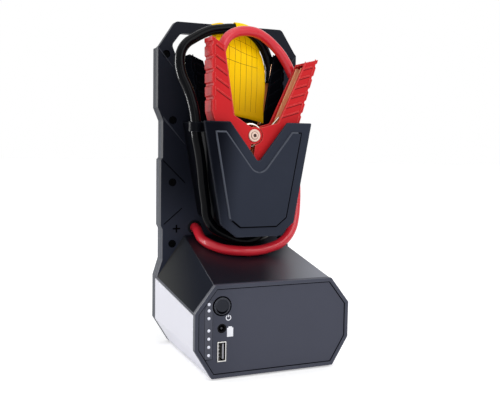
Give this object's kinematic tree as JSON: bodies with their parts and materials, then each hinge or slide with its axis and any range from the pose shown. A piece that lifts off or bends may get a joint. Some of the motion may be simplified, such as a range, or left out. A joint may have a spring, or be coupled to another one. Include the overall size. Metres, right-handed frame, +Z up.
{
  "type": "jump starter pack",
  "caption": "Battery pack with an octagonal base, a carrying tower with a hand opening, a clamp holster, and red and black cables ending in spring clamps.",
  "frame": {"origin": "on the floor, at the middle of the footprint, under the feet", "axes": "+Z up; -Y is the front face with the button and sockets; +X to the right as seen from the front; the tower stands at +Y"},
  "size_m": [0.1228, 0.112, 0.2648],
  "materials": {
    "black_plastic": "satin moulded",
    "grey_plastic": "satin moulded",
    "pale_plastic": "smooth",
    "slate_plastic": "fine satin",
    "red_plastic": "smooth",
    "rubber": "matt",
    "steel": "plated",
    "copper": "copper-plated sheet",
    "circuit_board": "solder mask",
    "cell_foil": "pouch foil",
    "yellow_film": "ruled vinyl film",
    "light_pipe": "smoked light pipe"
  },
  "bodies": {
    "pack": {"base_tray": "pale_plastic", "battery_bracket": "steel", "battery_cell_1": "cell_foil", "battery_cell_2": "cell_foil", "battery_cell_3": "cell_foil", "battery_pad": "rubber", "black_cable": "black_plastic", "black_cable_lug": "copper", "black_grommet": "rubber", "button_switch": "steel", "cable_tag": "yellow_film", "control_board": "circuit_board", "dc_jack": "rubber", "dc_jack_pin": "steel", "foot_front_left": "rubber", "foot_front_right": "rubber", "foot_rear_left": "rubber", "foot_rear_right": "rubber", "front_bezel": "slate_plastic", "front_shell": "black_plastic", "holster_body": "black_plastic", "holster_cover": "slate_plastic", "led_light_pipe": "light_pipe", "management_board": "circuit_board", "negative_busbar": "copper", "output_relay": "black_plastic", "positive_busbar": "copper", "rear_shell": "grey_plastic", "red_cable": "red_plastic", "red_cable_lug": "copper", "red_grommet": "rubber", "tower_screw_1": "steel", "tower_screw_2": "steel", "tower_screw_3": "steel", "tower_screw_4": "steel", "tower_screw_5": "steel", "tower_screw_6": "steel", "tower_screw_7": "steel", "tower_screw_8": "steel", "usb_shell": "steel", "usb_tongue": "rubber"},
    "button": {"power_button": "black_plastic"},
    "red_clamp": {"red_grip_fixed": "red_plastic", "red_jaw_fixed": "copper", "red_rivet": "steel", "red_spring": "steel"},
    "red_free_half": {"red_grip_free": "red_plastic", "red_jaw_free": "copper"},
    "black_clamp": {"black_grip_fixed": "black_plastic", "black_jaw_fixed": "copper", "black_rivet": "steel", "black_spring": "steel"},
    "black_free_half": {"black_grip_free": "black_plastic", "black_jaw_free": "copper"}
  },
  "joints": [
    {"name": "power_button_press", "type": "slide", "parent": "pack", "child": "button", "axis": [0, 1, 0], "range_m": [0, 0.0012], "stiffness_N_per_m": 500},
    {"name": "red_clamp_lift", "type": "slide", "parent": "pack", "child": "red_clamp", "axis": [0, 0, 1], "range_m": [0, 0.06], "deforming": ["red_cable"]},
    {"name": "red_clamp_squeeze", "type": "hinge", "parent": "red_clamp", "child": "red_free_half", "pos_m": [-0.0015, -0.0077, 0.174], "axis": [0, -1, 0], "range_deg": [0, 24], "stiffness_Nm_per_rad": 1.5, "springref_deg": -11.46, "deforming": ["red_spring"]},
    {"name": "black_clamp_lift", "type": "slide", "parent": "pack", "child": "black_clamp", "axis": [0, 0, 1], "range_m": [0, 0.06], "deforming": ["black_cable", "cable_tag"]},
    {"name": "black_clamp_squeeze", "type": "hinge", "parent": "black_clamp", "child": "black_free_half", "pos_m": [0.0015, 0.0205, 0.1695], "axis": [0, 1, 0], "range_deg": [-7, 20], "stiffness_Nm_per_rad": 1.5, "springref_deg": 0.57, "deforming": ["black_spring", "cable_tag"]}
  ]
}
